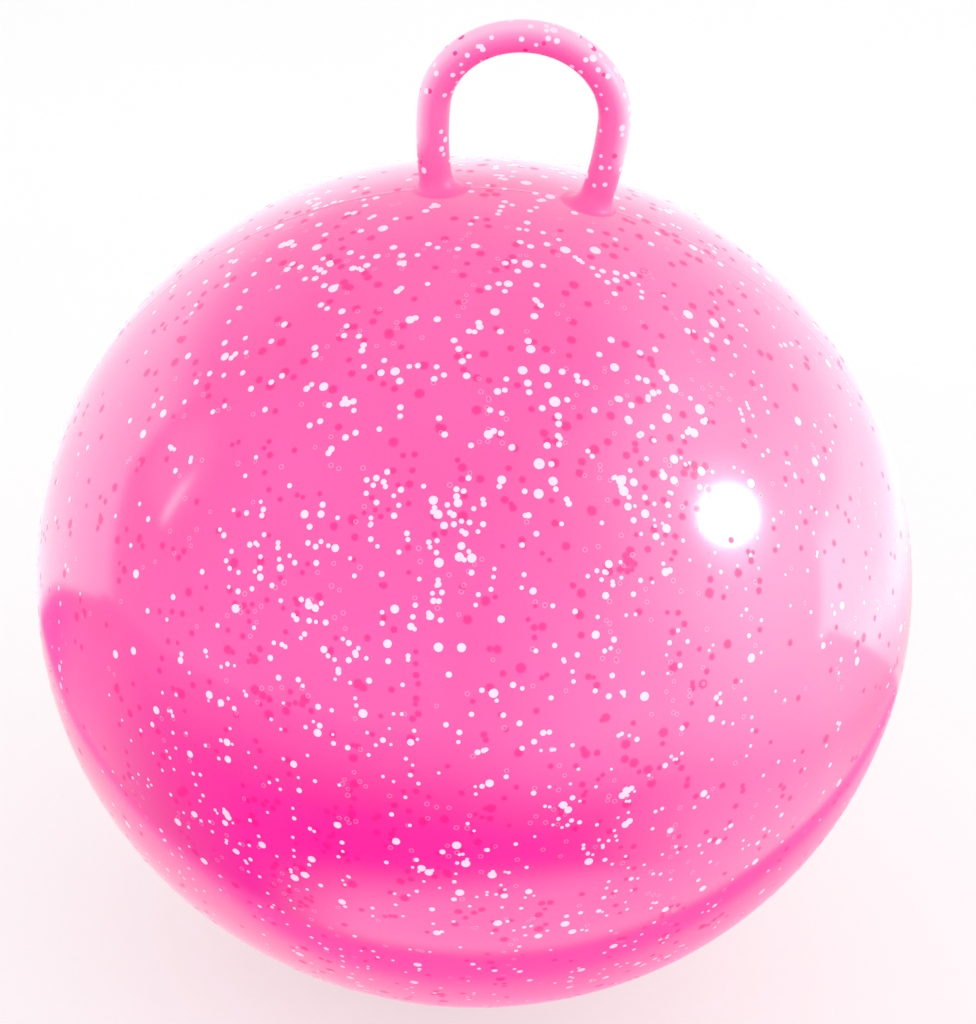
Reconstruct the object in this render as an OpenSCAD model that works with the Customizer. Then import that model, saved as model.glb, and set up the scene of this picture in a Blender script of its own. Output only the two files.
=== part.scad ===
// Hopper ball: a blown-up vinyl ball with a closed loop handle and an air plug.
// The ball stands on +Z = 0 with its pole above the origin, and the loop lies across X.

/* [Ball] */
// Width of the ball across its middle
ball_d = 450; // [350:5:650]
// How far each pole is drawn in from a true sphere
pole_drop = 7; // [2:0.5:14]
// Thickness of the vinyl skin
skin_t = 1; // [0.6:0.1:2.5]
// Width of the patch that flattens against the ground
foot_patch_d = 56; // [40:1:90]

/* [Handle] */
// Diameter of the handle tube
tube_d = 16; // [12:0.5:22]
// Wall of the handle tube
tube_wall = 3; // [1.5:0.25:5]
// Width of the loop over its outside
loop_w = 104; // [90:1:130]
// Height of the loop above the ball's pole
loop_rise = 88.5; // [80:0.5:130]
// Length of the straight stretch at the top of the loop
crown_l = 9; // [2:0.5:24]
// How far each leg leans in between its widest point and the ball
leg_lean = 5.5; // [2:0.5:10]
// How far the handle bends to each side
flex_angle = 35; // [10:1:45]

/* [Handle roots] */
// Vinyl between the rounded end of a leg and the ball
root_floor = 3; // [1.5:0.25:6]
// Wall of a root round its leg
root_wall = 1.5; // [1:0.25:4]
// Radius of the fillet from a root down to the ball
root_fillet = 4; // [2:0.5:8]
// Thickness of the fillet's outer edge
root_edge = 0.5; // [0.3:0.1:1.5]

/* [Air valve] */
// Angle of the valve from the pole, towards the back
valve_angle = 38; // [25:1:40]
// Bore of the valve sleeve
valve_bore_d = 10; // [8:0.5:14]
// Wall of the valve sleeve
sleeve_wall = 4; // [2.5:0.5:6]
// Length of the sleeve inside the ball
sleeve_l = 16; // [14:1:30]
// How far the flange reaches past the sleeve
flange_reach = 5; // [3:0.5:10]
// Height of the flange above the skin
flange_rise = 1.6; // [1.2:0.1:3]
// How far the plug's head reaches past the bore
head_reach = 3; // [1.5:0.25:3.5]
// Thickness of the plug's head at its edge
head_t = 1.8; // [1:0.1:4]
// Height of the dome on the plug's head
head_dome = 0.6; // [0.2:0.1:1.2]
// Depth of the seat that the head lies in
head_seat = 1; // [0.5:0.1:1.1]
// Length of the plug's ribbed stem
stem_l = 9; // [7:0.5:12]
// Length of the tapered tip on the stem
tip_l = 3; // [1:0.5:5]
// Depth of the grooves between the ribs
rib_depth = 0.8; // [0.3:0.1:1.5]
// Number of ribs on the stem
ribs = 3; // [2:1:4]

/* [Clearances] */
// Gap between a leg's rounded end and its root
flex_gap = 0.3; // [0.2:0.05:0.6]
// Gap between the plug's ribs and the bore, on the radius
plug_gap = 0.05; // [0.02:0.01:0.1]
// Gap round the plug's head and under it
head_gap = 0.2; // [0.1:0.05:0.4]
// Gap between the sleeve and the hole in the skin, on the radius
sleeve_gap = 0.05; // [0.02:0.01:0.2]

/* [Hidden] */
$fn = 96;
ball_facets = 360;
vinyl_pink = "#F24CA3";
handle_pink = "#F45FAD";
plug_white = "#F2EFEA";

// The ball's outline is an oval of tangent arcs: one round each side, one over each pole
ball_r = ball_d / 2;
arc_shift = pole_drop / (2 - sqrt(2));
side_arc_r = ball_r - arc_shift;
polar_arc_r = ball_r - pole_drop + arc_shift;
foot_patch_r = foot_patch_d / 2;
ball_z = sqrt(pow(polar_arc_r, 2) - pow(foot_patch_r, 2)) - arc_shift;
cap_z = ball_z - arc_shift;
pole_z = cap_z + polar_arc_r;

// The loop is a straight crown, two quarter bends and two legs that lean in to the ball
tube_r = tube_d / 2;
tube_bore_r = tube_r - tube_wall;
half_span = loop_w / 2 - tube_r;
bend_r = half_span - crown_l / 2;
arch_z = pole_z + loop_rise - tube_r - bend_r;
foot_x = half_span - leg_lean;
foot_z = cap_z + sqrt(pow(polar_arc_r, 2) - pow(foot_x, 2));
foot_tilt = asin(foot_x / polar_arc_r);
leg_drop = arch_z - foot_z;
leg_arc_r = (pow(leg_drop, 2) + pow(leg_lean, 2)) / (2 * leg_lean);
leg_angle = asin(leg_drop / leg_arc_r);

// The handle bends about the line through the centres of the legs' rounded ends
pivot_z = foot_z + root_floor + flex_gap + tube_r;
pivot_angle = asin((arch_z - pivot_z) / leg_arc_r);
root_top_z = pivot_z - tube_r * sin(flex_angle) - 2 * flex_gap;
root_r = tube_r + root_wall;
root_base_r = root_r + root_fillet;
root_h = pivot_z - foot_z;

// The plug's head lies in the flange, and its stem in the sleeve
valve_bore_r = valve_bore_d / 2;
sleeve_r = valve_bore_r + sleeve_wall;
flange_r = sleeve_r + flange_reach;
head_r = valve_bore_r + head_reach;
head_z = flange_rise - head_seat + head_gap;
dome_r = (pow(head_r, 2) + pow(head_dome, 2)) / (2 * head_dome);
rib_r = valve_bore_r - plug_gap;
groove_r = rib_r - rib_depth;
rib_pitch = stem_l / ribs;

// Half of the ball's outline, drawn in by inset and cut off at the ground
module ball_outline(inset) {
    join_x = arc_shift + (side_arc_r - inset) * cos(45);
    intersection() {
        union() {
            intersection() {
                translate([0, cap_z]) circle(polar_arc_r - inset);
                translate([0, cap_z + 2 * arc_shift]) circle(polar_arc_r - inset);
                square([join_x, pole_z]);
            }
            translate([arc_shift, ball_z]) circle(side_arc_r - inset);
        }
        translate([0, inset]) square([ball_d, pole_z]);
    }
}

// The sphere that the ball's upper cap is part of
module upper_cap() {
    translate([0, 0, cap_z]) sphere(polar_arc_r, $fn = ball_facets);
}

// Places a shape at the valve, with +Z straight out of the skin
module at_valve() {
    translate([0, 0, cap_z]) rotate([-valve_angle, 0, 0]) translate([0, 0, polar_arc_r]) children();
}

module ball_skin() {
    color(vinyl_pink) difference() {
        rotate_extrude($fn = ball_facets) ball_outline(0);
        rotate_extrude($fn = ball_facets) ball_outline(skin_t);
        at_valve() cylinder(h = sleeve_l, r = sleeve_r + sleeve_gap, center = true);
    }
}

// A rod bent towards +Y round a centre on -X, from the origin through the angle given
module bent_rod(centre_r, rod_r, angle) {
    translate([-centre_r, 0, 0]) rotate_extrude(start = min(0, angle), angle = abs(angle))
        translate([centre_r, 0]) circle(rod_r);
}

// The loop as a bent rod, with its legs reaching down to the angle given
module loop_rod(rod_r, leg_end) {
    translate([0, 0, arch_z]) rotate([90, 0, 0]) {
        translate([0, bend_r, 0]) rotate([0, 90, 0]) cylinder(h = crown_l, r = rod_r, center = true);
        for (side = [0, 1]) mirror([side, 0, 0]) translate([crown_l / 2, 0, 0]) translate([bend_r, 0, 0]) {
            bent_rod(bend_r, rod_r, 90);
            bent_rod(leg_arc_r, rod_r, -leg_end);
        }
    }
}

// A round bar along the line that the handle bends about
module flex_bar(bar_r) {
    translate([0, 0, pivot_z]) rotate([0, 90, 0]) cylinder(h = 2 * loop_w, r = bar_r, center = true);
}

module handle_loop() {
    color(handle_pink) difference() {
        loop_rod(tube_r, leg_angle);
        loop_rod(tube_bore_r, pivot_angle);
        difference() {
            translate([0, 0, pivot_z - loop_w]) cube(2 * loop_w, center = true);
            flex_bar(tube_r);
        }
    }
}

// The swelling round the right leg, with a rounded seat that the leg turns in
module handle_root() {
    difference() {
        translate([0, 0, cap_z]) rotate([0, foot_tilt, 0]) translate([0, 0, polar_arc_r])
            rotate_extrude() difference() {
                translate([0, -root_fillet]) square([root_base_r, root_h + root_fillet]);
                translate([root_base_r, root_edge + root_fillet]) circle(root_fillet);
                translate([root_r, root_edge + root_fillet]) square([2 * root_fillet, root_h]);
            }
        upper_cap();
        translate([0, 0, root_top_z + loop_w]) cube(2 * loop_w, center = true);
        flex_bar(tube_r + flex_gap);
    }
}

module handle_root_right() {
    color(vinyl_pink) handle_root();
}

module handle_root_left() {
    color(vinyl_pink) mirror([1, 0, 0]) handle_root();
}

module valve_seat() {
    color(vinyl_pink) at_valve() difference() {
        union() {
            difference() {
                union() {
                    translate([0, 0, -flange_rise]) cylinder(h = flange_rise, r = flange_r);
                    cylinder(h = flange_rise, r1 = flange_r, r2 = flange_r - flange_rise);
                }
                translate([0, 0, -polar_arc_r]) sphere(polar_arc_r, $fn = ball_facets);
            }
            translate([0, 0, -sleeve_l]) cylinder(h = sleeve_l + flange_rise / 2, r = sleeve_r);
        }
        translate([0, 0, -2 * sleeve_l]) cylinder(h = 3 * sleeve_l, r = valve_bore_r);
        translate([0, 0, flange_rise - head_seat]) cylinder(h = head_t + head_seat, r = head_r + head_gap);
    }
}

module valve_plug() {
    color(plug_white) at_valve() translate([0, 0, head_z]) {
        intersection() {
            cylinder(h = head_t + head_dome, r = head_r);
            translate([0, 0, head_t + head_dome - dome_r]) sphere(dome_r);
        }
        translate([0, 0, -stem_l]) cylinder(h = stem_l, r = groove_r);
        for (rib = [0 : ribs - 1])
            translate([0, 0, -stem_l + rib * rib_pitch]) cylinder(h = rib_pitch / 2, r = rib_r);
        translate([0, 0, -stem_l - tip_l]) cylinder(h = tip_l, r1 = groove_r / 2, r2 = groove_r);
    }
}

ball_skin();
handle_loop();
handle_root_left();
handle_root_right();
valve_seat();
valve_plug();
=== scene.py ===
"""Looks of the hopper ball: glittered vinyl skin, moulded loop handle and air plug, in metres."""
import math
import random

import bmesh
import bpy
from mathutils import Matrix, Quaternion, Vector, noise


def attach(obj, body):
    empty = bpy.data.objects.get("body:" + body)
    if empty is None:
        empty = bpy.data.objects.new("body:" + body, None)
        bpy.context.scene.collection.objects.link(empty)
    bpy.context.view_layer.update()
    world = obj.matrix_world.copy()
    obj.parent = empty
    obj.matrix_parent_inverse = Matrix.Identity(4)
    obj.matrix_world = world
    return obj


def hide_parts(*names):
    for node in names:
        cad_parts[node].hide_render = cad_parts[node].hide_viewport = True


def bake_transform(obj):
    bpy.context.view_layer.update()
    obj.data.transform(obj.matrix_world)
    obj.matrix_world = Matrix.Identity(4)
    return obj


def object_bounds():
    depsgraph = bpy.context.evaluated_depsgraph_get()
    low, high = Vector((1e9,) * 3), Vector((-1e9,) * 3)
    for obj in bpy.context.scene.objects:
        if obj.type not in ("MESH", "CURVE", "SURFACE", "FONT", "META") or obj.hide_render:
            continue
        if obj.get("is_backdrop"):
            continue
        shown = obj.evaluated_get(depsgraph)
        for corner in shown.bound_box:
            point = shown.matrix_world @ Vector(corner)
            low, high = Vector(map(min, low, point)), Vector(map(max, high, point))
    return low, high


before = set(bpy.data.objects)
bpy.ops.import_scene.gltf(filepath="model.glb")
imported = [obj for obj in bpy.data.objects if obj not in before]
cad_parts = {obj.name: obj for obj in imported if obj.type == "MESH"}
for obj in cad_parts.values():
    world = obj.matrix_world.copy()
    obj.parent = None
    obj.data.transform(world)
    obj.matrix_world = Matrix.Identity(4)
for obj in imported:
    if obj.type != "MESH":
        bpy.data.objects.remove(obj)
cad_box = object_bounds()

# Driving sizes of the ball and its handle
MM = 0.001
BALL_R = 225 * MM
POLE_DROP = 7 * MM
FOOT_PATCH_R = 28 * MM
SKIN_T = 1 * MM
TUBE_R = 8 * MM
LOOP_W = 104 * MM
LOOP_RISE = 88.5 * MM
CROWN_L = 9 * MM
LEG_LEAN = 5.5 * MM
VALVE_ANGLE = math.radians(38)

# The ball's outline is an oval of tangent arcs, one round each side and one over each pole
ARC_SHIFT = POLE_DROP / (2 - math.sqrt(2))
SIDE_ARC_R = BALL_R - ARC_SHIFT
POLAR_ARC_R = BALL_R - POLE_DROP + ARC_SHIFT
JOIN_X = ARC_SHIFT + SIDE_ARC_R * math.cos(math.radians(45))
CENTRE = Vector((0, 0, math.sqrt(POLAR_ARC_R ** 2 - FOOT_PATCH_R ** 2) - ARC_SHIFT))
CAP_CENTRE = CENTRE - Vector((0, 0, ARC_SHIFT))
POLE_Z = CAP_CENTRE.z + POLAR_ARC_R

# The loop is half an ellipse on two legs that lean in to the ball
HALF_SPAN = LOOP_W / 2 - TUBE_R
ARCH_H = HALF_SPAN - CROWN_L / 2
ARCH_Z = POLE_Z + LOOP_RISE - TUBE_R - ARCH_H
FOOT_X = HALF_SPAN - LEG_LEAN
FOOT_Z = CAP_CENTRE.z + math.sqrt(POLAR_ARC_R ** 2 - FOOT_X ** 2)
LEG_DROP = ARCH_Z - FOOT_Z
ALONG_Y = Vector((0, 1, 0))

# The valve's middle on the skin, and its way out
VALVE_AXIS = Vector((0, math.sin(VALVE_ANGLE), math.cos(VALVE_ANGLE)))
VALVE_POINT = CAP_CENTRE + VALVE_AXIS * POLAR_ARC_R

# Colours, linear
DEEP_PINK = (0.95, 0.006, 0.33, 1)
SOFT_PINK = (0.96, 0.018, 0.36, 1)
DARK_PINK = (0.93, 0.001, 0.27, 1)
# Pale pink of the painted light on the loop's outside and in the painted rings of the bubbles
PAINTED_LIGHT_PINK = (0.98, 0.50, 0.73, 1)
GLITTER_WHITE = (0.96, 0.72, 0.87, 1)
GLITTER_CORE = (0.95, 0.64, 0.82, 1)
PLUG_WHITE = (0.87, 0.85, 0.82, 1)
PLUG_SHADE = (0.78, 0.75, 0.72, 1)
FLOOR_WHITE = (0.93, 0.93, 0.93, 1)
FLOOR_SHADE = (0.91, 0.91, 0.91, 1)


def smoothstep(low, high, value):
    share = min(1, max(0, (value - low) / (high - low)))
    return share * share * (3 - 2 * share)


# Mesh helpers
def make_piece(name, vertices, faces, material, smooth=True):
    """A mesh object from plain lists, linked into the scene."""
    mesh = bpy.data.meshes.new(name)
    mesh.from_pydata(vertices, [], faces)
    mesh.polygons.foreach_set("use_smooth", [smooth] * len(mesh.polygons))
    mesh.materials.append(material)
    mesh.update()
    piece = bpy.data.objects.new(name, mesh)
    bpy.context.scene.collection.objects.link(piece)
    return piece


def keep_values(piece, name, values):
    """Keeps a number at each vertex for the materials to read."""
    piece.data.attributes.new(name, "FLOAT", "POINT").data.foreach_set("value", values)


def ring_faces(first, second, count):
    """Quads between two rings of the same count, given by their first vertices."""
    faces = []
    for i in range(count):
        following = (i + 1) % count
        faces.append((first + i, first + following, second + following, second + i))
    return faces


def fan_faces(tip, ring, count):
    """Triangles from a tip vertex round a ring."""
    return [(tip, ring + i, ring + (i + 1) % count) for i in range(count)]


def face_outwards(piece):
    """Turns the faces of a closed mesh so that all of them look outwards."""
    shape = bmesh.new()
    shape.from_mesh(piece.data)
    bmesh.ops.recalc_face_normals(shape, faces=shape.faces)
    shape.to_mesh(piece.data)
    shape.free()


def curve(start, corner, end, share):
    """A point of the rounded corner between two points."""
    return start * (1 - share) ** 2 + corner * 2 * share * (1 - share) + end * share ** 2


def tangents(direction):
    """Two unit vectors square to a direction, the first one level."""
    level = direction.cross(Vector((0, 0, 1)))
    if level.length < 1e-6:
        level = Vector((1, 0, 0))
    level.normalize()
    return level, direction.cross(level)


# The ball's surface
RIPPLE = 0.32 * MM
RIPPLE_SCALE = 3.6
RIDGE_H = 0.12 * MM
RIDGE_W = 0.7 * MM
VALVE_HOLE_R = 9.3 * MM
BALL_COLUMNS = 288
BALL_ROWS = 144

# Extra rows of the skin beside the ridge, in millimetres from it
RIDGE_ROWS = (3.2, 2, 1.2, 0.7, 0.35)


def reach(direction):
    """Distance from the ball's centre to its oval outline, along a unit vector."""
    up = abs(direction.z)
    out = math.sqrt(max(0, 1 - up * up))
    polar = math.sqrt(POLAR_ARC_R ** 2 - (ARC_SHIFT * out) ** 2) - ARC_SHIFT * up
    if polar * out <= JOIN_X:
        return polar
    return ARC_SHIFT * out + math.sqrt(SIDE_ARC_R ** 2 - (ARC_SHIFT * up) ** 2)


def skin_point(direction, lift=0):
    """A point of the skin, with the slow ripple of blown vinyl and the fine ridge of the mould."""
    ripple = RIPPLE * noise.noise(direction * RIPPLE_SCALE)
    ridge = RIDGE_H * math.exp(-(direction.y * BALL_R / RIDGE_W) ** 2)
    point = CENTRE + direction * (reach(direction) + ripple + ridge + lift)
    point.z = max(0, point.z)
    return point


def build_ball(material):
    """The skin, drawn in rows from its front to its back, with a hole for the valve's sleeve."""
    columns = BALL_COLUMNS
    step = math.pi / BALL_ROWS
    tilts = [i * step for i in range(1, BALL_ROWS // 2)]
    tilts += [math.pi / 2 - row * MM / BALL_R for row in RIDGE_ROWS]
    tilts += [math.pi - tilt for tilt in reversed(tilts)]
    tilts.insert(len(tilts) // 2, math.pi / 2)
    vertices = [skin_point(Vector((0, -1, 0)))]
    for tilt in tilts:
        for column in range(columns):
            turn = 2 * math.pi * column / columns
            across = math.sin(tilt)
            direction = Vector((across * math.cos(turn), -math.cos(tilt), across * math.sin(turn)))
            vertices.append(skin_point(direction))
    vertices.append(skin_point(Vector((0, 1, 0))))
    faces = fan_faces(0, 1, columns)
    for row in range(len(tilts) - 1):
        faces += [face[::-1] for face in ring_faces(1 + row * columns, 1 + (row + 1) * columns, columns)]
    last = 1 + (len(tilts) - 1) * columns
    faces += [face[::-1] for face in fan_faces(len(vertices) - 1, last, columns)]
    ball = make_piece("ball_skin_vinyl", vertices, faces, material)
    cut_valve_hole(ball)
    skin = ball.modifiers.new("skin", "SOLIDIFY")
    skin.thickness = SKIN_T
    skin.offset = -1
    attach(ball, "ball")
    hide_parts("ball_skin")


def cut_valve_hole(ball):
    """Opens the skin under the valve's flange and rounds the edge."""
    shape = bmesh.new()
    shape.from_mesh(ball.data)

    def off_axis(vertex):
        from_valve = vertex.co - VALVE_POINT
        return from_valve - VALVE_AXIS * from_valve.dot(VALVE_AXIS)

    def near(vertex):
        this_side = (vertex.co - VALVE_POINT).length < 3 * VALVE_HOLE_R
        return this_side and off_axis(vertex).length < 1.1 * VALVE_HOLE_R

    inside = [face for face in shape.faces if all(near(vertex) for vertex in face.verts)]
    bmesh.ops.delete(shape, geom=inside, context="FACES")
    edge = [vertex for vertex in shape.verts if vertex.is_boundary]
    for vertex in edge:
        out = off_axis(vertex)
        vertex.co += out * (VALVE_HOLE_R / out.length - 1)
    shape.to_mesh(ball.data)
    shape.free()


# The loop handle
TURN_COLUMNS = 44
TURNS = [2 * math.pi * i / TURN_COLUMNS for i in range(TURN_COLUMNS)]
LEG_STEPS = 26
ARCH_STEPS = 72
FLARE_STEPS = 9
FLARE_H = 9 * MM
FLARE_OUTSIDE = 3.5 * MM
FLARE_MORE_INSIDE = 5 * MM
FLARE_LAP = 3 * MM
FLARE_SINK = 0.3 * MM
TIP_DEPTH = 3 * MM
# Height above the feet over which the painted light on the loop's outside fades in
PAINTED_LIGHT_RISE = 30 * MM
SKIN_SEARCH = 30 * MM
SKIN_HALVINGS = 24


def loop_point(height):
    """A point on the right leg's centre line, at a height below the arch."""
    share = (ARCH_Z - height) / LEG_DROP
    return Vector((HALF_SPAN - LEG_LEAN * share * share, 0, height))


def loop_path():
    """The centre line and its directions, from just above the right foot to just above the left one."""
    leg_l = LEG_DROP - FLARE_H
    leg = [loop_point(FOOT_Z + FLARE_H + leg_l * i / LEG_STEPS) for i in range(LEG_STEPS)]
    arch = []
    for i in range(ARCH_STEPS + 1):
        turn = math.pi * i / ARCH_STEPS
        arch.append(Vector((HALF_SPAN * math.cos(turn), 0, ARCH_Z + ARCH_H * math.sin(turn))))
    points = leg + arch + [Vector((-point.x, 0, point.z)) for point in reversed(leg)]
    ends = [points[0] * 2 - points[1]] + points + [points[-1] * 2 - points[-2]]
    ways = [(ends[i + 2] - ends[i]).normalized() for i in range(len(points))]
    return points, ways


def tube_point(middle, way, turn, radius):
    """A point on the tube, where a turn of 0 is on the loop's outside."""
    outward = Vector((way.z, 0, -way.x))
    return middle + (outward * math.cos(turn) + ALONG_Y * math.sin(turn)) * radius


def skin_hit(point, way):
    """Where a line from a point above the ball meets the skin."""
    low, high = 0, SKIN_SEARCH
    for _ in range(SKIN_HALVINGS):
        middle = (low + high) / 2
        offset = point + way * middle - CENTRE
        if offset.length > (skin_point(offset.normalized()) - CENTRE).length:
            low = middle
        else:
            high = middle
    return point + way * high


def flare_rings(middle, way, down):
    """Rings from the end of a leg down into the skin, with a fillet that is wider inside the loop."""
    root = skin_hit(middle, down)
    rings = [[] for _ in range(FLARE_STEPS + 1)]
    for turn in TURNS:
        inner = (1 - math.cos(turn)) / 2
        spread = FLARE_OUTSIDE + FLARE_MORE_INSIDE * inner ** 2
        start = tube_point(middle, way, turn, TUBE_R)
        corner = skin_hit(start, down)
        normal = (corner - CENTRE).normalized()
        aside = corner - root
        aside = (aside - normal * aside.dot(normal)).normalized()
        end = skin_point((corner + aside * spread - CENTRE).normalized())
        sunk = skin_point((corner + aside * (spread + FLARE_LAP) - CENTRE).normalized(), -FLARE_SINK)
        for step in range(1, FLARE_STEPS + 1):
            rings[step - 1].append(curve(start, corner, end, step / FLARE_STEPS))
        rings[FLARE_STEPS].append(sunk)
    tip = root - (root - CENTRE).normalized() * TIP_DEPTH
    return rings, tip


def build_handle(material):
    """The loop in one skin with its two flared feet, with light painted paler along its outside."""
    points, ways = loop_path()
    count = TURN_COLUMNS
    body = [[tube_point(p, w, t, TUBE_R) for t in TURNS] for p, w in zip(points, ways)]
    right_rings, right_tip = flare_rings(points[0], ways[0], -ways[0])
    left_rings, left_tip = flare_rings(points[-1], ways[-1], ways[-1])
    rings = list(reversed(right_rings)) + body + left_rings
    vertices = [vertex for ring in rings for vertex in ring]
    faces = []
    for i in range(len(rings) - 1):
        faces += ring_faces(i * count, (i + 1) * count, count)
    # Painted light: the share of pale pink painted on the loop's outside, fading out towards the feet
    painted_light = []
    for vertex in vertices:
        risen = smoothstep(FOOT_Z, FOOT_Z + PAINTED_LIGHT_RISE, vertex.z)
        painted_light.append(risen * (1 + math.cos(TURNS[len(painted_light) % count])) / 2)
    vertices += [right_tip, left_tip]
    faces += [face[::-1] for face in fan_faces(len(vertices) - 2, 0, count)]
    faces += fan_faces(len(vertices) - 1, (len(rings) - 1) * count, count)
    handle = make_piece("handle_vinyl", vertices, faces, material)
    keep_values(handle, "painted_light", painted_light + [0, 0])
    face_outwards(handle)
    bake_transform(handle)
    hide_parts("handle_loop", "handle_root_left", "handle_root_right")
    handle.visible_glossy = False


# Glitter, with the depth of colour of a flake at shares of its radius
CRISP = ((0, 1), (0.82, 0.4), (1, 0))
FADED = ((0, 1), (0.7, 0.9), (1, 0))
# A bubble's profile: painted shade in its middle and a ring of painted light inside its rim
BUBBLE = ((0, 0.5), (0.45, 0), (0.8, -0.45), (1, 0))
WHITE_LIFT = 0.10 * MM
DARK_LIFT = 0.05 * MM
HANDLE_WHITE_LIFT = 0.08 * MM
RIM_SINK = 0.4
HANDLE_CORNERS = 12

# Radii of the flakes, in millimetres, and the shares of the large and the fine ones
LARGE_WHITE = (1.8, 2.4)
PLAIN_WHITE = (1.1, 1.6)
FINE_WHITE = (0.8, 1.15)
LARGE_DARK = (2.4, 3.1)
PLAIN_DARK = (1.4, 2.2)
BUBBLES = (1.2, 1.5)
HANDLE_LARGE_WHITE = (1.5, 2)
HANDLE_PLAIN_WHITE = (0.9, 1.5)
HANDLE_DARK = (1, 1.7)
LARGE_WHITE_SHARE = 0.14
FINE_WHITE_SHARE = 0.85
LARGE_DARK_SHARE = 0.18
HANDLE_PLAIN_SHARE = 0.8

# Where on the ball glitter thins out, gets coarser or gets finer, in parts of a unit vector
THIN_SIDES = (0.35, 0.8)
THICKEST_HEIGHT = 0.2
THIN_HEIGHTS = (0.3, 1)
THINNED_BY = 0.6
COARSE_HEIGHTS = (0.5, 0.85)
COARSER_BY = 0.3
FINE_HEIGHTS = (0.35, 0)
FINE_SIDE = (0.2, 0.5)

# Groups of flakes: the share that are strings, the flakes in each, and their spacing in millimetres
STRING_SHARE = 0.35
GROUP_COUNT = (2, 5)
CLUMP_SPREAD = (3, 9)
STRING_STEP = (4, 10)
STRING_WANDER = 1.4
STRING_JITTER = 2

# Room that glitter leaves round the valve, the handle's feet, the ground and the ends of the loop
VALVE_ROOM = 17 * MM
LEG_ROOM = 16 * MM
GROUND_ROOM = 2 * MM
LOOP_END_ROOM = 3 * MM


class Flakes:
    """Thin closed discs gathered into one mesh, with a depth of colour at each vertex."""

    def __init__(self):
        self.vertices = []
        self.faces = []
        self.depths = []
        self.normals = []

    def ring(self, place, radius, lift, count, depth):
        """Adds a circle of vertices, or one vertex where the radius is 0."""
        first = len(self.vertices)
        for i in range(count if radius else 1):
            turn = 2 * math.pi * i / count
            x = radius * math.cos(turn)
            y = radius * math.sin(turn)
            self.vertices.append(place(x, y, lift))
            self.normals.append((place(x, y, MM) - place(x, y, 0)).normalized())
            self.depths.append(depth)
        return first

    def disc(self, place, radius, lift, count, profile):
        """One flake: place(across, up, lift) gives a point of the surface, and profile the depth of
        colour at shares of the radius, from the middle out to the rim, which is sunk in the surface."""
        rings = []
        for share, depth in profile:
            height = lift if share < 1 else -RIM_SINK * lift
            rings.append(self.ring(place, share * radius, height, count, depth))
        self.faces += fan_faces(rings[0], rings[1], count)
        for inner, outer in zip(rings[1:], rings[2:]):
            self.faces += [face[::-1] for face in ring_faces(inner, outer, count)]
        self.faces.append(tuple(rings[-1] + i for i in reversed(range(count))))

    def piece(self, name, material):
        made = make_piece(name, self.vertices, self.faces, material)
        keep_values(made, "depth", self.depths)
        made.data.normals_split_custom_set_from_vertices(self.normals)
        return made


def on_ball(direction):
    """A function that lays a flat pattern on the skin round a direction."""
    across, up = tangents(direction)

    def place(x, y, lift):
        return skin_point((direction * BALL_R + across * x + up * y).normalized(), lift)

    return place


def any_direction(rng):
    height = rng.uniform(-1, 1)
    turn = rng.uniform(0, 2 * math.pi)
    out = math.sqrt(1 - height * height)
    return Vector((out * math.cos(turn), out * math.sin(turn), height))


def bare(direction):
    """Whether a place on the ball has no room for glitter: its foot, the valve and the handle's feet."""
    point = skin_point(direction)
    at_valve = (point - VALVE_POINT).length < VALVE_ROOM
    at_leg = math.hypot(abs(point.x) - FOOT_X, point.y) < LEG_ROOM and point.z > CENTRE.z
    return point.z < GROUND_ROOM or at_valve or at_leg


def kept(rng, direction, thinnest):
    """Glitter is thickest round the middle, and thins out to the two sides, the top and the bottom."""
    side = 1 - (1 - thinnest) * smoothstep(*THIN_SIDES, abs(direction.x))
    height = 1 - THINNED_BY * smoothstep(*THIN_HEIGHTS, abs(direction.z - THICKEST_HEIGHT))
    return rng.random() < side * height and not bare(direction)


def scatter(rng, singles, groups):
    """Directions for glitter: single flakes, strings down the ball and loose clumps."""
    spots = [any_direction(rng) for _ in range(singles)]
    for _ in range(groups):
        middle = any_direction(rng)
        across, up = tangents(middle)
        stringy = rng.random() < STRING_SHARE
        count = rng.randint(*GROUP_COUNT)
        spread = rng.uniform(*CLUMP_SPREAD) * MM
        step = rng.uniform(*STRING_STEP) * MM
        for i in range(count):
            if stringy:
                x = rng.gauss(0, STRING_WANDER * MM)
                y = (i - count / 2) * step + rng.gauss(0, STRING_JITTER * MM)
            else:
                x = rng.gauss(0, spread)
                y = rng.gauss(0, spread)
            spots.append((middle * BALL_R + across * x + up * y).normalized())
    return spots


def coarser(direction):
    """Flakes are larger towards the ball's top."""
    return 1 + COARSER_BY * smoothstep(*COARSE_HEIGHTS, direction.z)


def white_radius(rng, direction):
    """Flakes are finer low on the ball and towards its right."""
    if rng.random() < LARGE_WHITE_SHARE:
        return rng.uniform(*LARGE_WHITE) * MM * coarser(direction)
    fine = max(smoothstep(*FINE_HEIGHTS, direction.z), smoothstep(*FINE_SIDE, direction.x))
    if rng.random() < FINE_WHITE_SHARE * fine:
        return rng.uniform(*FINE_WHITE) * MM * coarser(direction)
    return rng.uniform(*PLAIN_WHITE) * MM * coarser(direction)


def dark_radius(rng, direction):
    """The large dark flakes are the same all over the ball."""
    if rng.random() < LARGE_DARK_SHARE:
        return rng.uniform(*LARGE_DARK) * MM
    return rng.uniform(*PLAIN_DARK) * MM * coarser(direction)


def bubble_radius(rng, _):
    """Bubbles are the same all over the ball."""
    return rng.uniform(*BUBBLES) * MM


def handle_white_radius(rng):
    if rng.random() < HANDLE_PLAIN_SHARE:
        return rng.uniform(*HANDLE_PLAIN_WHITE) * MM
    return rng.uniform(*HANDLE_LARGE_WHITE) * MM


def handle_dark_radius(rng):
    return rng.uniform(*HANDLE_DARK) * MM


def corners(radius):
    """How many corners a flake of a radius needs to look round."""
    return round(7 + 2 * radius / MM)


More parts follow.
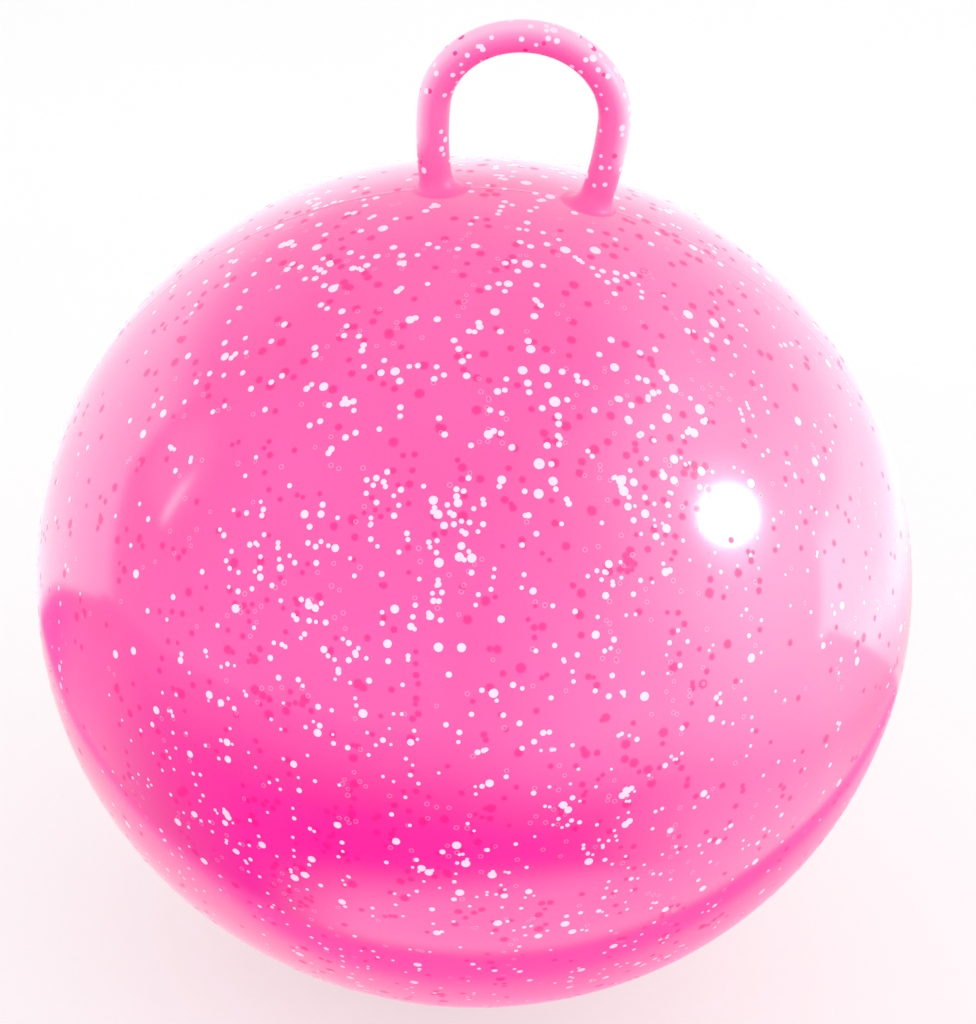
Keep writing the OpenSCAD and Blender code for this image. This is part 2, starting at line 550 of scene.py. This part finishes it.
def glitter_ball(name, material, seed, singles, groups, radius_of, thinnest, lift, profile):
    """One kind of glitter over the ball, as its own piece."""
    rng = random.Random(seed)
    flakes = Flakes()
    for spot in scatter(rng, singles, groups):
        radius = radius_of(rng, spot)
        if kept(rng, spot, thinnest):
            flakes.disc(on_ball(spot), radius, lift, corners(radius), profile)
    piece = flakes.piece(name, material)
    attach(piece, "ball")


def build_ball_glitter(white, dark):
    """White flakes near the surface, dark ones deeper in the vinyl, and faint round bubbles drawn with
    painted shade and a painted ring of light.
    """
    glitter_ball(
        "ball_glitter_white", white, seed=12, singles=3000, groups=860,
        radius_of=white_radius, thinnest=0.24, lift=WHITE_LIFT, profile=CRISP,
    )
    glitter_ball(
        "ball_glitter_dark", dark, seed=23, singles=2300, groups=460,
        radius_of=dark_radius, thinnest=0.4, lift=DARK_LIFT, profile=FADED,
    )
    glitter_ball(
        "ball_bubbles", dark, seed=31, singles=1100, groups=380,
        radius_of=bubble_radius, thinnest=0.4, lift=DARK_LIFT, profile=BUBBLE,
    )


class LoopSurface:
    """The loop's tube, opened out: places on it by the run along it and the turn round it."""

    def __init__(self):
        self.points, self.ways = loop_path()
        self.lengths = [0]
        for start, end in zip(self.points, self.points[1:]):
            self.lengths.append(self.lengths[-1] + (end - start).length)

    def point(self, run, turn, lift):
        run = min(self.lengths[-1], max(0, run))
        i = max(j for j in range(len(self.points) - 1) if self.lengths[j] <= run)
        share = (run - self.lengths[i]) / (self.lengths[i + 1] - self.lengths[i])
        middle = self.points[i].lerp(self.points[i + 1], share)
        way = self.ways[i].lerp(self.ways[i + 1], share).normalized()
        return tube_point(middle, way, turn, TUBE_R + lift)

    def around(self, run, turn):
        """A function that lays a flat pattern on the tube round a place."""
        def place(x, y, lift):
            return self.point(run + y, turn + x / TUBE_R, lift)

        return place


def glitter_handle(name, material, seed, count, radius_of, lift, profile):
    """One kind of glitter over the loop, as its own piece."""
    rng = random.Random(seed)
    surface = LoopSurface()
    flakes = Flakes()
    for _ in range(count):
        run = rng.uniform(LOOP_END_ROOM, surface.lengths[-1] - LOOP_END_ROOM)
        turn = rng.uniform(0, 2 * math.pi)
        flakes.disc(surface.around(run, turn), radius_of(rng), lift, HANDLE_CORNERS, profile)
    piece = flakes.piece(name, material)
    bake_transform(piece)
    piece.visible_glossy = False


def build_handle_glitter(white, dark):
    """The same two kinds of flake on the loop."""
    glitter_handle(
        "handle_glitter_white", white, seed=5, count=150,
        radius_of=handle_white_radius, lift=HANDLE_WHITE_LIFT, profile=CRISP,
    )
    glitter_handle(
        "handle_glitter_dark", dark, seed=6, count=50,
        radius_of=handle_dark_radius, lift=DARK_LIFT, profile=FADED,
    )


# The air valve, in millimetres from its axis and up from the skin
BORE_R = 5
SLEEVE_R = 9
SLEEVE_L = 16
FLANGE_R = 14
FLANGE_RISE = 1.6
FLANGE_GROOVE_Z = 1.3
SEAT_R = 8.2
SEAT_Z = 0.6
HEAD_R = 8
HEAD_Z = 0.8
HEAD_EDGE_Z = 2.5
RIB_R = 4.95
RIB_SLOPE = 0.25
RIB_L = 1.5
RIB_PITCH = 3
RIBS = 3
GROOVE_R = 4.15
TIP_R = 2.1
TIP_L = 3
END_FACE_R = 0.3
ROUND_STEPS = 5
LATHE_COLUMNS = 72


def rounded(corner, before, after, radius):
    """Points of a profile round one of its corners, between the points before and after it."""
    corner, before, after = Vector(corner), Vector(before), Vector(after)
    start = corner + (before - corner).normalized() * radius
    end = corner + (after - corner).normalized() * radius
    return [curve(start, corner, end, i / ROUND_STEPS) for i in range(ROUND_STEPS + 1)]


def lathe(name, outline, material, closed):
    """Turns a profile of (radius, height, rounding) about the valve's axis."""
    count = LATHE_COLUMNS
    profile = []
    for i, (radius, height, rounding) in enumerate(outline):
        if rounding:
            before = outline[i - 1][:2]
            after = outline[(i + 1) % len(outline)][:2]
            profile += rounded((radius, height), before, after, rounding)
        else:
            profile.append(Vector((radius, height)))
    across, up = tangents(VALVE_AXIS)
    vertices = []
    for point in profile:
        middle = VALVE_POINT + VALVE_AXIS * point.y * MM
        for i in range(count):
            turn = 2 * math.pi * i / count
            vertices.append(middle + (across * math.cos(turn) + up * math.sin(turn)) * point.x * MM)
    faces = []
    for i in range(len(profile) - 1 + closed):
        faces += ring_faces(i * count, (i + 1) % len(profile) * count, count)
    if not closed:
        faces.append(tuple(range(count)))
        faces.append(tuple(reversed(range((len(profile) - 1) * count, len(profile) * count))))
    piece = make_piece(name, vertices, faces, material)
    face_outwards(piece)
    return piece


def build_valve(vinyl, plastic):
    """The flange and sleeve in the skin, and the ribbed stopper pushed into it."""
    seat = (
        (BORE_R, -SLEEVE_L, 0.8), (BORE_R, SEAT_Z, 0.15), (SEAT_R, SEAT_Z, 0.15),
        (SEAT_R, FLANGE_RISE, 0.3), (10.2, FLANGE_RISE, 0.3), (10.6, FLANGE_GROOVE_Z, 0.2),
        (11.2, FLANGE_GROOVE_Z, 0.2), (11.6, 1.45, 0.2), (12.4, 1.3, 0.5), (FLANGE_R, -0.4, 0.3),
        (13.6, -1.6, 0.2), (SLEEVE_R, -2, 0.3), (SLEEVE_R, -SLEEVE_L, 0.8),
    )
    flange = lathe("valve_flange", seat, vinyl, True)
    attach(flange, "ball")
    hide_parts("valve_seat")
    stem_z = HEAD_Z - RIBS * RIB_PITCH
    tip_z = stem_z - TIP_L
    stem = [(END_FACE_R, tip_z, 0), (TIP_R, tip_z, 0.5), (GROOVE_R, stem_z, 0.3)]
    for rib in range(RIBS):
        low = stem_z + rib * RIB_PITCH
        high = low + RIB_L
        stem += [(GROOVE_R, low, 0.1), (RIB_R, low + RIB_SLOPE, 0.2)]
        stem += [(RIB_R, high - RIB_SLOPE, 0.2), (GROOVE_R, high, 0.1)]
    stem += [(GROOVE_R, HEAD_Z, 0.1), (HEAD_R, HEAD_Z, 0.3), (HEAD_R, HEAD_EDGE_Z, 0.5), (6.9, 2.72, 0.3)]
    stem += [(6.6, HEAD_EDGE_Z, 0.15), (6, HEAD_EDGE_Z, 0.15), (5.7, 2.9, 0.2), (3, 3.1, 0.5)]
    stem.append((END_FACE_R, 3.18, 0))
    stopper = lathe("valve_stopper", stem, plastic, False)
    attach(stopper, "plug")
    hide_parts("valve_plug")


# Materials
class Nodes:
    """Short calls for building one material."""

    def __init__(self, name):
        self.material = bpy.data.materials.new(name)
        self.material.use_nodes = True
        self.tree = self.material.node_tree
        self.shader = self.tree.nodes["Principled BSDF"]

    def add(self, kind, **inputs):
        node = self.tree.nodes.new(kind)
        for key, value in inputs.items():
            self.feed(node.inputs[key], value)
        return node

    def feed(self, socket, value):
        if isinstance(value, bpy.types.NodeSocket):
            self.tree.links.new(value, socket)
        else:
            socket.default_value = value

    def finish(self, **inputs):
        for key, value in inputs.items():
            self.feed(self.shader.inputs[key.replace("_", " ")], value)
        return self.material

    def place(self):
        return self.add("ShaderNodeTexCoord").outputs["Object"]

    def noise(self, scale, detail, roughness=0.5):
        inputs = {"Vector": self.place(), "Scale": scale, "Detail": detail, "Roughness": roughness}
        return self.add("ShaderNodeTexNoise", **inputs).outputs["Fac"]

    def spread(self, value, low, high, bottom=0.0, top=1.0):
        """Straight from bottom at low to top at high, and level past them."""
        node = self.add("ShaderNodeMapRange", Value=value)
        node.inputs["From Min"].default_value = low
        node.inputs["From Max"].default_value = high
        node.inputs["To Min"].default_value = bottom
        node.inputs["To Max"].default_value = top
        return node.outputs["Result"]

    def math(self, operation, first, second):
        node = self.tree.nodes.new("ShaderNodeMath")
        node.operation = operation
        self.feed(node.inputs[0], first)
        self.feed(node.inputs[1], second)
        return node.outputs["Value"]

    def plus(self, first, second):
        return self.math("ADD", first, second)

    def minus(self, first, second):
        return self.math("SUBTRACT", first, second)

    def times(self, first, second):
        return self.math("MULTIPLY", first, second)

    def most(self, first, second):
        return self.math("MAXIMUM", first, second)

    def smooth(self, value, low, high):
        """0 up to low and 1 from high on, with a soft change between them; low may be above high."""
        if low > high:
            return self.minus(1.0, self.smooth(value, high, low))
        node = self.add("ShaderNodeMapRange", Value=value)
        node.interpolation_type = "SMOOTHSTEP"
        node.inputs["From Min"].default_value = low
        node.inputs["From Max"].default_value = high
        return node.outputs["Result"]

    def split(self):
        parts = self.add("ShaderNodeSeparateXYZ", Vector=self.place())
        return parts.outputs["X"], parts.outputs["Y"], parts.outputs["Z"]

    def value(self, name):
        """A number kept at each vertex."""
        node = self.add("ShaderNodeAttribute")
        node.attribute_name = name
        return node.outputs["Fac"]

    def off_axis(self, axis_x=0.0, axis_y=0.0):
        """Distance from an upright axis."""
        x, y, _ = self.split()
        x = self.minus(x, axis_x)
        y = self.minus(y, axis_y)
        square = self.plus(self.times(x, x), self.times(y, y))
        return self.math("SQRT", square, 0.0)

    def azimuth(self):
        """Turn about the upright axis in degrees: 0 is behind the ball and 90 is to its right."""
        x, y, _ = self.split()
        return self.times(self.math("ARCTAN2", x, y), math.degrees(1))

    def elevation(self):
        """Angle above the level of the ball's middle, in degrees."""
        height = self.minus(self.split()[2], CENTRE.z)
        return self.times(self.math("ARCTAN2", height, self.off_axis()), math.degrees(1))

    def vector(self, operation, first, second, output="Vector"):
        node = self.tree.nodes.new("ShaderNodeVectorMath")
        node.operation = operation
        self.feed(node.inputs[0], first)
        self.feed(node.inputs[1], second)
        return node.outputs[output]

    def off_way(self, start, way):
        """Angle at a start point between a direction and each point, in degrees."""
        offset = self.vector("SUBTRACT", self.place(), start)
        size = self.vector("LENGTH", offset, offset, "Value")
        cosine = self.math("DIVIDE", self.vector("DOT_PRODUCT", offset, way, "Value"), size)
        return self.times(self.math("ARCCOSINE", cosine, 0.0), math.degrees(1))

    def ramp(self, value, points):
        """Straight lines through points of (value, result)."""
        low, high = points[0][0], points[-1][0]
        top = max(result for _, result in points)
        node = self.add("ShaderNodeValToRGB", Fac=self.spread(value, low, high))
        stops = node.color_ramp.elements
        while len(stops) < len(points):
            stops.new(0.5)
        for stop, (at, result) in zip(stops, points):
            stop.position = (at - low) / (high - low)
            stop.color = (result / top, result / top, result / top, 1)
        return self.times(node.outputs["Color"], top)

    def blend(self, share, first, second):
        """A number between two others."""
        node = self.tree.nodes.new("ShaderNodeMix")
        self.feed(node.inputs["Factor"], share)
        self.feed(node.inputs["A"], first)
        self.feed(node.inputs["B"], second)
        return node.outputs["Result"]

    def rgb(self, red, green, blue):
        return self.add("ShaderNodeCombineColor", Red=red, Green=green, Blue=blue).outputs["Color"]

    def glow(self, colour):
        """Makes the material shine with a colour instead of being lit."""
        shine = self.add("ShaderNodeEmission", Color=colour)
        self.feed(self.tree.nodes["Material Output"].inputs["Surface"], shine.outputs["Emission"])
        return self.material

    def mix(self, share, first, second):
        node = self.tree.nodes.new("ShaderNodeMix")
        node.data_type = "RGBA"
        self.feed(node.inputs["Factor"], share)
        self.feed(node.inputs[6], first)
        self.feed(node.inputs[7], second)
        return node.outputs[2]

    def bump(self, height, distance, below=None):
        node = self.add("ShaderNodeBump", Height=height, Distance=distance)
        if below is not None:
            self.tree.links.new(below, node.inputs["Normal"])
        return node.outputs["Normal"]


def vinyl_colour(nodes):
    """Pink with slow clouds and a fine grain in it."""
    cloud = nodes.spread(nodes.noise(14, 3), 0.35, 0.65)
    clouded = nodes.mix(cloud, DEEP_PINK, SOFT_PINK)
    grain = nodes.spread(nodes.noise(900, 2), 0.3, 0.75, 0, 0.35)
    return nodes.mix(grain, clouded, SOFT_PINK)


def vinyl_finish(nodes, colour, gloss=1.0, blur=0.12):
    """Glossy soft vinyl: a clear gloss over a faint haze."""
    peel = nodes.bump(nodes.noise(70, 2), 0.05 * MM)
    pores = nodes.bump(nodes.noise(1400, 2), 0.012 * MM, peel)
    worn = nodes.spread(nodes.noise(30, 4, 0.6), 0.3, 0.7, 0.36, 0.46)
    return nodes.finish(
        Base_Color=colour, Roughness=worn, IOR=1.2, Normal=pores,
        Coat_Weight=gloss, Coat_Roughness=blur, Coat_IOR=1.92,
    )


def skin_material():
    nodes = Nodes("skin_vinyl_gloss")
    return vinyl_finish(nodes, vinyl_colour(nodes))


def handle_material():
    """The same vinyl with a duller gloss, with light painted paler on the outside of the loop, where the
    light falls on it.
    """
    nodes = Nodes("handle_vinyl_satin")
    # Painted light: the loop's outside is mixed towards a pale pink
    share = nodes.ramp(nodes.value("painted_light"), ((0, 0.17), (0.55, 0.21), (0.74, 0.5), (0.9, 0.9), (1, 1)))
    return vinyl_finish(nodes, nodes.mix(share, vinyl_colour(nodes), PAINTED_LIGHT_PINK), 0.4, 0.34)


def dark_glitter_material():
    """Flakes deep in the vinyl: dark in the middle, and the vinyl's own pink at the rim. Bubbles get a
    painted shade in the middle and a pale painted ring of light near the rim.
    """
    nodes = Nodes("dark_glitter")
    dark = nodes.spread(nodes.value("depth"), 0, 1)
    # Painted light: the pale ring of a bubble, where its depth is below 0
    painted_light = nodes.spread(nodes.value("depth"), 0, -1)
    colour = nodes.mix(painted_light, nodes.mix(dark, vinyl_colour(nodes), DARK_PINK), PAINTED_LIGHT_PINK)
    return vinyl_finish(nodes, colour, nodes.spread(dark, 0, 1, 1, 0.4))


def white_glitter_material():
    nodes = Nodes("white_glitter")
    tone = nodes.mix(nodes.spread(nodes.noise(450, 1), 0.35, 0.65), GLITTER_CORE, GLITTER_WHITE)
    colour = nodes.mix(nodes.spread(nodes.value("depth"), 0.2, 1), GLITTER_WHITE, tone)
    rough = nodes.spread(nodes.noise(600, 1), 0.3, 0.7, 0.3, 0.45)
    return nodes.finish(Base_Color=colour, Roughness=rough, Coat_Weight=0.5, Coat_Roughness=0.08)


def valve_vinyl_material():
    nodes = Nodes("valve_vinyl_satin")
    fine = nodes.bump(nodes.noise(1100, 2), 0.02 * MM)
    rough = nodes.spread(nodes.noise(90, 3), 0.3, 0.7, 0.38, 0.5)
    return nodes.finish(
        Base_Color=vinyl_colour(nodes), Roughness=rough, Normal=fine,
        Coat_Weight=0.3, Coat_Roughness=0.2,
    )


def plug_material():
    nodes = Nodes("plug_plastic_satin")
    colour = nodes.mix(nodes.spread(nodes.noise(120, 3), 0.35, 0.7), PLUG_WHITE, PLUG_SHADE)
    fine = nodes.bump(nodes.noise(1600, 2), 0.015 * MM)
    rough = nodes.spread(nodes.noise(200, 2), 0.3, 0.7, 0.4, 0.52)
    return nodes.finish(Base_Color=colour, Roughness=rough, Normal=fine)


# The camera, placed so that the ball falls where it does in the photograph
PHOTO_W, PHOTO_H = 976, 1024
BALL_PIXEL = (474.4, 578.2)
CAMERA_DISTANCE = 2.0
CAMERA_ELEVATION = math.radians(28.6)
CAMERA_ROLL = math.radians(6.1)
CAMERA_BACK = Vector((0, -math.cos(CAMERA_ELEVATION), math.sin(CAMERA_ELEVATION)))
EYE = CENTRE + CAMERA_BACK * CAMERA_DISTANCE
LENS = 136
SENSOR = 36


def build_camera():
    camera_data = bpy.data.cameras.new("camera")
    camera_data.lens = LENS
    camera_data.sensor_width = SENSOR
    camera = bpy.data.objects.new("camera", camera_data)
    bpy.context.scene.collection.objects.link(camera)
    bpy.context.scene.camera = camera
    camera.location = EYE
    focal = LENS / SENSOR * PHOTO_H
    ball_ray = Vector((BALL_PIXEL[0] - PHOTO_W / 2, PHOTO_H / 2 - BALL_PIXEL[1], -focal))
    aim = Vector((0, 0, -1)).rotation_difference(ball_ray)
    facing = (-CAMERA_BACK).to_track_quat("-Z", "Y") @ Quaternion((0, 0, 1), CAMERA_ROLL)
    camera.rotation_euler = (facing @ aim.inverted()).to_euler()


# The stage
FLOOR_R = 3.0
TENT_R = 1.6
TENT_MIDDLE = Vector((0.5, 0, 0))
TENT_COLUMNS = 96
TENT_ROWS = 24
DISC_CORNERS = 96
FLOOR_Z = -0.2 * MM
FLOOR_CARD_Z = 0.5 * MM
FLOOR_WHITENING = 0.6

# Strength of the tent's light and of its windows, at azimuths in degrees
OVERHEAD_LEVEL = 1.28
TENT_LEVELS = (
    (-180, 1.15), (-120, 1.15), (-104, 1), (-84, 0.88), (-30, 0.9), (0, 1.2), (20, 1.55), (41, 2.1),
    (55, 2.5), (70, 2.7), (108, 2.8), (142, 2.05), (159, 1.55), (180, 1.15),
)
LEFT_WINDOW = ((-85, 0), (-81, 1), (-55, 0.8), (-25, 0.25), (0, 0))
RIGHT_WINDOW = ((40, 0), (55, 0.3), (83, 1.65), (85, 0))
REAR_WINDOW = ((-45, 0), (-20, 0.45), (5, 0.45), (25, 0))

# The floor in the gloss: its far edge and its dark ring at azimuths in degrees, how much nearer the ring
# brightens there, and how it brightens outwards
FAR_FLOOR = (
    (-180, 1.12), (-150, 1.02), (-130, 0.95), (-105, 0.88), (-85, 0.62), (-65, 0.5), (-50, 0.7),
    (0, 0.9), (31, 0.7), (61, 1.4), (88, 2.6), (109, 2.6), (143, 1.95), (159, 1.55), (180, 1.12),
)
DARK_RING = (
    (-180, 0), (-140, 0), (-117, 0.35), (-95, 0.95), (-82, 1), (-70, 0.48), (-45, 0.36), (0, 0.85),
    (50, 0.5), (67, 0.42), (100, 0.55), (128, 0.62), (143, 0.42), (152, 0.12), (165, 0), (180, 0),
)
NEARER_BY = ((-180, 0), (-145, 0.02), (-100, 0.15), (110, 0.15), (150, 0.03), (180, 0))
OUTWARDS = (
    (0.40, 0), (0.48, 0.04), (0.55, 0.2), (0.68, 0.44), (0.77, 0.62), (0.95, 0.78), (1.2, 0.9), (1.8, 1),
)
FRONT_PATCH = (0.08, -0.02)
FRONT_PATCH_LEVEL = 1.35

# The ball's shadow on the floor in the gloss, and the pink that the ball throws into it from left to right
SHADOW = (0.01, 0.17)
SHADOW_LEVEL = 0.34
PINK_LEVEL = 1.1
BOUNCED_PINK = ((-0.2, 0.55), (-0.08, 0.46), (0, 0.25), (0.08, 0.17), (0.18, 0.28), (0.25, 0.3))


def way_to(azimuth, elevation):
    """A unit vector in degrees: azimuth 0 is behind the ball and 90 is to its right."""
    a, e = math.radians(azimuth), math.radians(elevation)
    return Vector((math.sin(a) * math.cos(e), math.cos(a) * math.cos(e), math.sin(e)))


def hot_spot(way):
    """The point of the ball that mirrors a light in a direction to the camera."""
    spot = CENTRE
    for _ in range(4):
        spot = skin_point((way + (EYE - spot).normalized()).normalized())
    return spot


# The key light, the fill light, and the strip and the patch of light in the tent
KEY_WAY = way_to(97.3, 29)
KEY_SPOT = hot_spot(KEY_WAY)
KEY_TURN = math.radians(-19.6)
KEY_SIZE = (0.524, 0.376)
KEY_DISTANCE = 1.5
KEY_RADIANCE = 10
FILL_PLACE = Vector((-0.4, -1.7, 0.37))
FILL_SIZE = (2.4, 0.7)
FILL_RADIANCE = 0.8
STRIP_AZIMUTH = -97.0
PATCH_WAY = way_to(-92, 20)


def disc_piece(name, radius, height, material):
    """A flat round sheet for the stage."""
    count = DISC_CORNERS
    vertices = [Vector((0, 0, height))]
    for i in range(count):
        turn = 2 * math.pi * i / count
        vertices.append(Vector((radius * math.cos(turn), radius * math.sin(turn), height)))
    piece = make_piece(name, vertices, fan_faces(0, 1, count), material, False)
    piece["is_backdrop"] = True
    return piece


def only_in_gloss(piece):
    """Leaves a stage piece to the reflections in the vinyl."""
    piece.visible_camera = False
    piece.visible_diffuse = False
    piece.visible_transmission = False
    piece.visible_volume_scatter = False
    piece.visible_shadow = False


def build_floor():
    """A pale floor with the ball's shadow on it, whitened to the white that it fades into."""
    nodes = Nodes("pale_floor")
    tone = nodes.spread(nodes.noise(3, 3), 0.3, 0.7)
    colour = nodes.mix(tone, FLOOR_WHITE, FLOOR_SHADE)
    solid = nodes.smooth(nodes.off_axis(), 2.8, 1.1)
    nodes.finish(Base_Color=colour, Roughness=0.9, Alpha=solid)
    rays = nodes.add("ShaderNodeLightPath").outputs
    mirrored = nodes.most(rays["Is Glossy Ray"], rays["Is Transmission Ray"])
    seen = nodes.most(rays["Is Camera Ray"], mirrored)
    white = nodes.add("ShaderNodeEmission", Strength=1.0)
    blend = nodes.tree.nodes.new("ShaderNodeMixShader")
    nodes.feed(blend.inputs[0], nodes.times(seen, FLOOR_WHITENING))
    nodes.feed(blend.inputs[1], nodes.shader.outputs["BSDF"])
    nodes.feed(blend.inputs[2], white.outputs["Emission"])
    nodes.feed(nodes.tree.nodes["Material Output"].inputs["Surface"], blend.outputs["Shader"])
    disc_piece("floor", FLOOR_R, FLOOR_Z, nodes.material)


def tent_level(nodes):
    """Strength of the tent's light: brightest to the right, with a bright window on each side."""
    turn = nodes.azimuth()
    rise = nodes.elevation()
    low = nodes.times(nodes.smooth(rise, 42, 14), 0.4)
    high = nodes.times(nodes.smooth(rise, 75, 50), 0.6)
    beside = nodes.minus(nodes.ramp(turn, TENT_LEVELS), OVERHEAD_LEVEL)
    beside = nodes.times(beside, nodes.plus(low, high))
    lean = nodes.times(nodes.math("MINIMUM", rise, 8.0), 0.5)
    left = nodes.ramp(nodes.minus(turn, lean), LEFT_WINDOW)
    left = nodes.times(left, nodes.smooth(rise, 32, 16))
    right = nodes.ramp(nodes.plus(turn, lean), RIGHT_WINDOW)
    right = nodes.times(right, nodes.smooth(rise, 14, 5))
    rear = nodes.times(nodes.ramp(turn, REAR_WINDOW), nodes.smooth(rise, 30, 14))
    windows = nodes.plus(nodes.plus(left, right), rear)
    return nodes.plus(nodes.plus(beside, OVERHEAD_LEVEL), windows)


def warm_blue(nodes, level):
    """The blue of the light at a level: the brighter it is, the warmer."""
    return nodes.times(level, nodes.spread(level, 1.3, 3, 1, 0.87))


def tent_colour(nodes, level):
    return nodes.rgb(level, level, warm_blue(nodes, level))


def floor_level(nodes, out):
    """Strength of the floor as the gloss shows it: a lit patch in front of the ball, and a dark ring that
    brightens outwards to the tent."""
    turn = nodes.azimuth()
    outward = nodes.ramp(nodes.plus(out, nodes.ramp(turn, NEARER_BY)), OUTWARDS)
    ring = nodes.most(nodes.ramp(turn, DARK_RING), outward)
    ring = nodes.times(nodes.ramp(turn, FAR_FLOOR), ring)
    in_front = nodes.most(nodes.smooth(turn, -138, -168), nodes.smooth(turn, 40, 90))
    patch = nodes.times(in_front, nodes.smooth(nodes.off_axis(*FRONT_PATCH), 0.375, 0.27))
    return nodes.most(ring, nodes.times(patch, FRONT_PATCH_LEVEL))


def past_tent_edge(nodes, x, y):
    """Where the floor behind the ball gives way to the tent: a sharp edge to the right of the ball, and to
    its left a soft one that comes nearer further out."""
    edge = nodes.spread(x, 0, -0.3, 0.29, 0.26)
    nearer = nodes.times(nodes.smooth(x, -0.5, -1.05), 0.17)
    softness = nodes.spread(x, 0, -0.2, 0.01, 0.03)
    return nodes.smooth(nodes.math("DIVIDE", nodes.minus(nodes.plus(y, nearer), edge), softness), -1, 1)


def build_floor_card():
    """The floor as the gloss shows it, with the ball's pink on it in the ball's shadow, and the tent's own
    light behind the ball, which is dimmer close to the ball on its right."""
    nodes = Nodes("floor_card")
    x, y, _ = nodes.split()
    out = nodes.off_axis()
    from_shadow = nodes.off_axis(*SHADOW)
    shadow = nodes.smooth(from_shadow, 0.390, 0.366)
    wider = nodes.times(nodes.smooth(x, -0.05, -0.2), 0.03)
    under = nodes.smooth(nodes.minus(from_shadow, wider), 0.345, 0.312)
    shade = nodes.plus(nodes.times(nodes.ramp(x, BOUNCED_PINK), under), SHADOW_LEVEL)
    floor = nodes.blend(shadow, floor_level(nodes, out), shade)
    beside = nodes.times(nodes.smooth(y, -0.2, 0.0), nodes.smooth(out, 0.95, 0.60))
    before = nodes.times(nodes.smooth(out, 0.7, 0.45), 0.5)
    pink = nodes.most(shadow, nodes.most(beside, before))
    red = nodes.most(floor, nodes.times(pink, PINK_LEVEL))
    tint = nodes.times(pink, nodes.plus(nodes.times(floor, 0.4), 0.55))
    blue = nodes.most(warm_blue(nodes, floor), tint)
    close = nodes.times(nodes.smooth(out, 1, 0.5), nodes.smooth(x, -0.05, 0.15))
    dimmed = nodes.spread(close, 0, 1, 1, 0.42)
    tent = tent_colour(nodes, nodes.times(tent_level(nodes), dimmed))
    colour = nodes.mix(past_tent_edge(nodes, x, y), nodes.rgb(red, floor, blue), tent)
    only_in_gloss(disc_piece("floor_card", FLOOR_R, FLOOR_CARD_Z, nodes.glow(colour)))


def tent_material():
    """The tent's light, with a halo round the key light, and a thin bright strip and a soft patch of light
    to the left."""
    nodes = Nodes("light_tent")
    rise = nodes.elevation()
    off_key = nodes.off_way(KEY_SPOT, KEY_WAY)
    near = nodes.times(nodes.smooth(off_key, 18, 6), 2.0)
    broad = nodes.times(nodes.smooth(off_key, 45, 15), 0.8)
    off_strip = nodes.math("ABSOLUTE", nodes.minus(nodes.azimuth(), STRIP_AZIMUTH), 0.0)
    strip = nodes.times(nodes.smooth(rise, 8, 12), nodes.smooth(rise, 24, 16))
    strip = nodes.times(strip, nodes.smooth(off_strip, 1.4, 0.4))
    patch = nodes.times(nodes.smooth(nodes.off_way(CENTRE, PATCH_WAY), 13, 4), 0.4)
    left = nodes.plus(nodes.times(strip, 3.5), patch)
    extra = nodes.plus(nodes.plus(near, broad), left)
    return nodes.glow(tent_colour(nodes, nodes.plus(extra, tent_level(nodes))))


def build_light_tent():
    """The white tent round the ball, which only its gloss shows."""
    columns = TENT_COLUMNS
    rows = TENT_ROWS
    vertices = []
    for row in range(rows):
        rise = 90 * row / rows
        for column in range(columns):
            vertices.append(TENT_MIDDLE + way_to(-360 * column / columns, rise) * TENT_R)
    faces = []
    for row in range(rows - 1):
        faces += ring_faces(row * columns, (row + 1) * columns, columns)
    vertices.append(TENT_MIDDLE + Vector((0, 0, TENT_R)))
    faces += fan_faces(len(vertices) - 1, (rows - 1) * columns, columns)
    tent = make_piece("light_tent", vertices, faces, tent_material())
    tent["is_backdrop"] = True
    only_in_gloss(tent)


def add_lamp(name, shape, size, watts, location, turn=0):
    """An area light that faces the ball, turned about its own axis."""
    lamp = bpy.data.lights.new(name, "AREA")
    lamp.shape = shape
    lamp.size, lamp.size_y = size
    lamp.energy = watts
    light = bpy.data.objects.new(name, lamp)
    light.location = location
    facing = (CENTRE - location).to_track_quat("-Z", "Y")
    light.rotation_euler = (facing @ Quaternion((0, 0, 1), turn)).to_euler()
    light.visible_camera = False
    bpy.context.scene.collection.objects.link(light)
    return light


def build_lights():
    """A round light to the right for the hot spot, and a broad weak one in front for the lower half."""
    watts = KEY_RADIANCE * math.pi * KEY_SIZE[0] * KEY_SIZE[1] * math.pi / 4
    key = add_lamp("key", "ELLIPSE", KEY_SIZE, watts, KEY_SPOT + KEY_WAY * KEY_DISTANCE, KEY_TURN)
    key.visible_diffuse = False
    watts = FILL_RADIANCE * math.pi * FILL_SIZE[0] * FILL_SIZE[1]
    fill = add_lamp("fill", "RECTANGLE", FILL_SIZE, watts, FILL_PLACE)
    fill.visible_glossy = False


def build_world():
    """Even white light from all round."""
    world = bpy.data.worlds.new("studio")
    bpy.context.scene.world = world
    world.use_nodes = True
    background = world.node_tree.nodes["Background"]
    background.inputs["Color"].default_value = (1, 1, 1, 1)
    background.inputs["Strength"].default_value = 1


build_camera()
build_world()
build_lights()
build_light_tent()
build_floor_card()
build_floor()
white_glitter = white_glitter_material()
dark_glitter = dark_glitter_material()
build_ball(skin_material())
build_handle(handle_material())
build_ball_glitter(white_glitter, dark_glitter)
build_handle_glitter(white_glitter, dark_glitter)
build_valve(valve_vinyl_material(), plug_material())
bpy.context.scene.view_settings.view_transform = "Standard"
boxes = {"cad": cad_box, "visual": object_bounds()}
{name: [list(corner) for corner in box] for name, box in boxes.items()}
